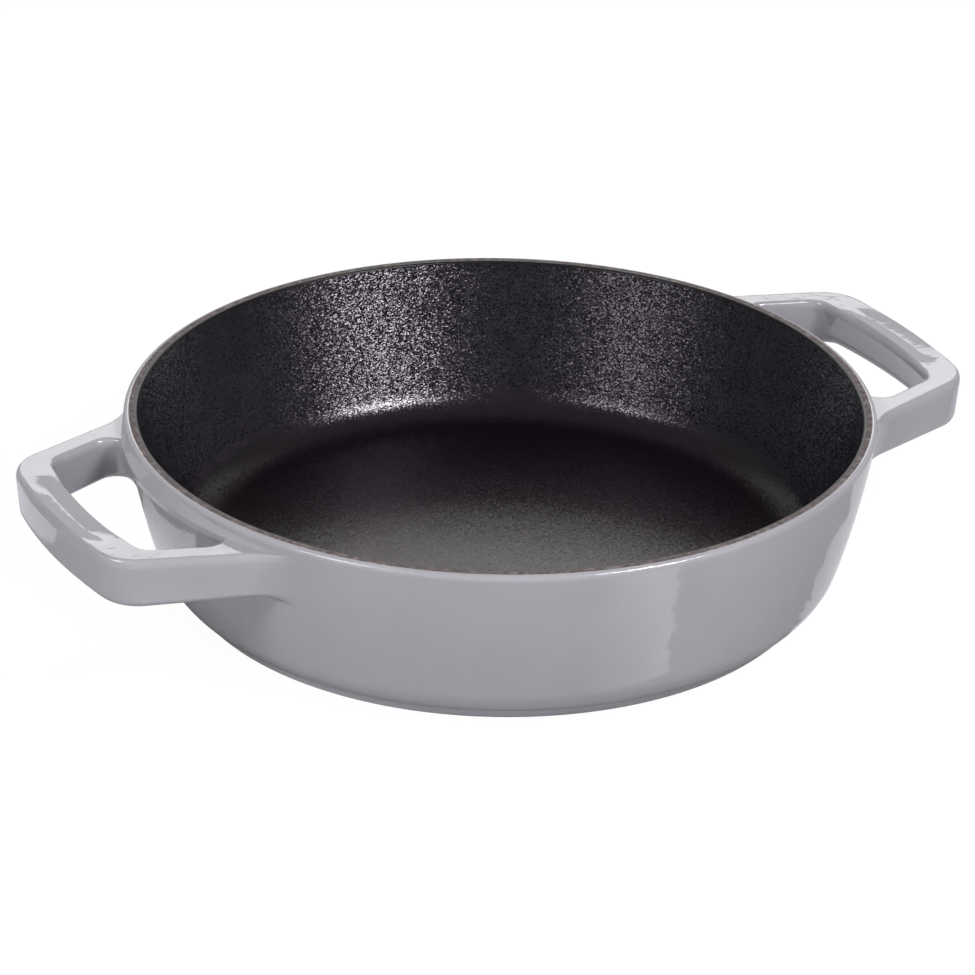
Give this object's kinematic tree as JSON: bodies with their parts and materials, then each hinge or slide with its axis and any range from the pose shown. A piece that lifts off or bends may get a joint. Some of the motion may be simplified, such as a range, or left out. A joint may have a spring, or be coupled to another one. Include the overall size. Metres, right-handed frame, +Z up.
{
  "type": "frying pan",
  "caption": "Low round enamelled cast iron pan with a bowed wall, a foot ring, a matte lining and a squared loop handle on either side.",
  "frame": {"origin": "centre of the foot, on the surface that the pan stands on", "axes": "+Z up out of the pan, X along the line through both handles, Y across it"},
  "size_m": [0.339, 0.26, 0.0624],
  "materials": {
    "bare_iron": "as cast, under the coats",
    "wall_gloss": "gloss vitreous enamel, warm light grey",
    "left_handle_gloss": "gloss vitreous enamel, warm light grey",
    "right_handle_gloss": "gloss vitreous enamel, warm light grey",
    "rim_coat": "thin satin ground coat, taupe",
    "matte_enamel": "matte black enamel, finely textured",
    "base_gloss": "gloss vitreous enamel, warm light grey"
  },
  "bodies": {
    "root": {"pan_casting": "bare_iron", "left_handle_casting": "bare_iron", "right_handle_casting": "bare_iron", "wall_enamel": "wall_gloss", "left_handle_enamel": "left_handle_gloss", "right_handle_enamel": "right_handle_gloss", "rim_band": "rim_coat", "matte_lining": "matte_enamel", "base_enamel": "base_gloss"}
  },
  "joints": []
}
